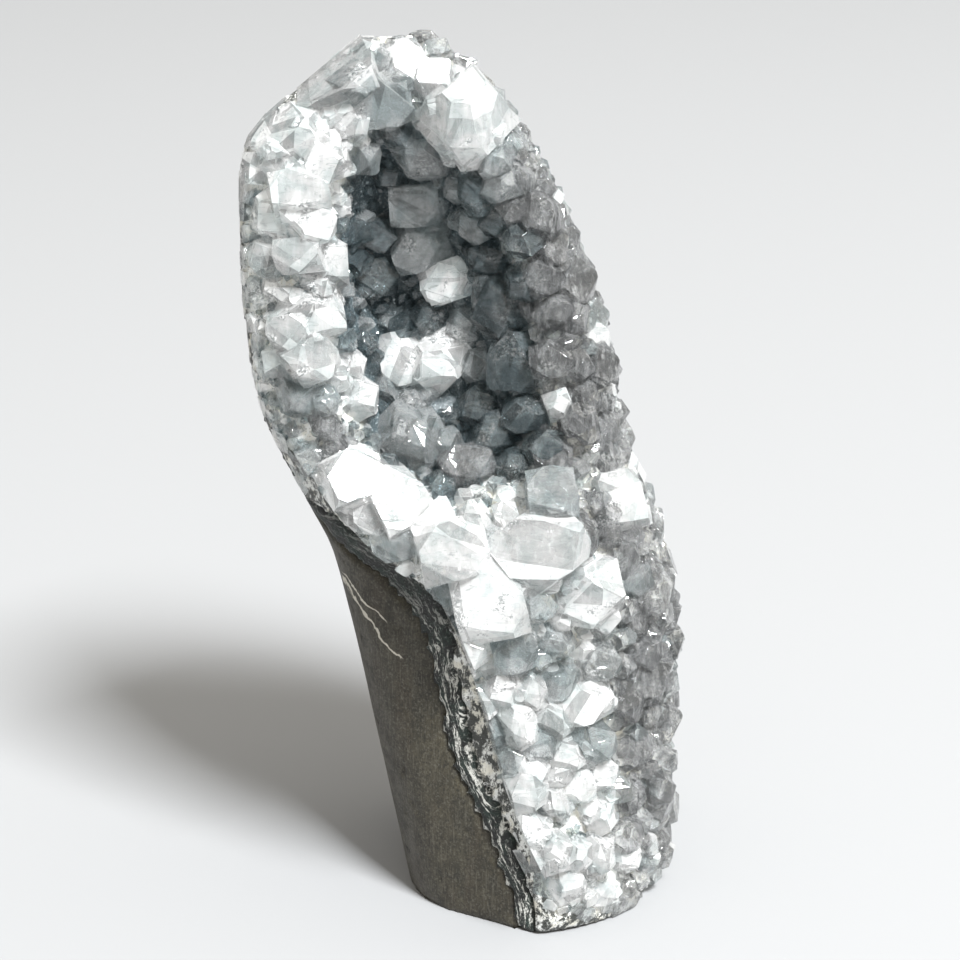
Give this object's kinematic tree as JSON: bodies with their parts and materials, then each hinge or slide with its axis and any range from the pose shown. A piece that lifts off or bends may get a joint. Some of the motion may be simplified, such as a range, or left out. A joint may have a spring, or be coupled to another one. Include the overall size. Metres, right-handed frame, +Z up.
{
  "type": "apophyllite specimen",
  "caption": "Tall free-standing druse of clear apophyllite crystals lining a hollow in dark basalt, sawn and ground flat underneath so that it stands upright.",
  "frame": {"origin": "middle of the flat underside, on the surface the piece stands on", "axes": "+Z up, -Y out of the crystal side, +X towards the smoky right edge, seen from the crystal side"},
  "size_m": [0.1005, 0.0796, 0.1965],
  "materials": {
    "basalt_matrix": "ground and brushed grey-brown rock",
    "celadonite_rind": "dark green-black rind with pale bands, cut matt",
    "crystal_crust": "clear to milky crystals with flat glossy faces"
  },
  "bodies": {
    "root": {"basalt_matrix": "basalt_matrix", "celadonite_rind": "celadonite_rind", "crystal_crust": "crystal_crust"}
  },
  "joints": []
}
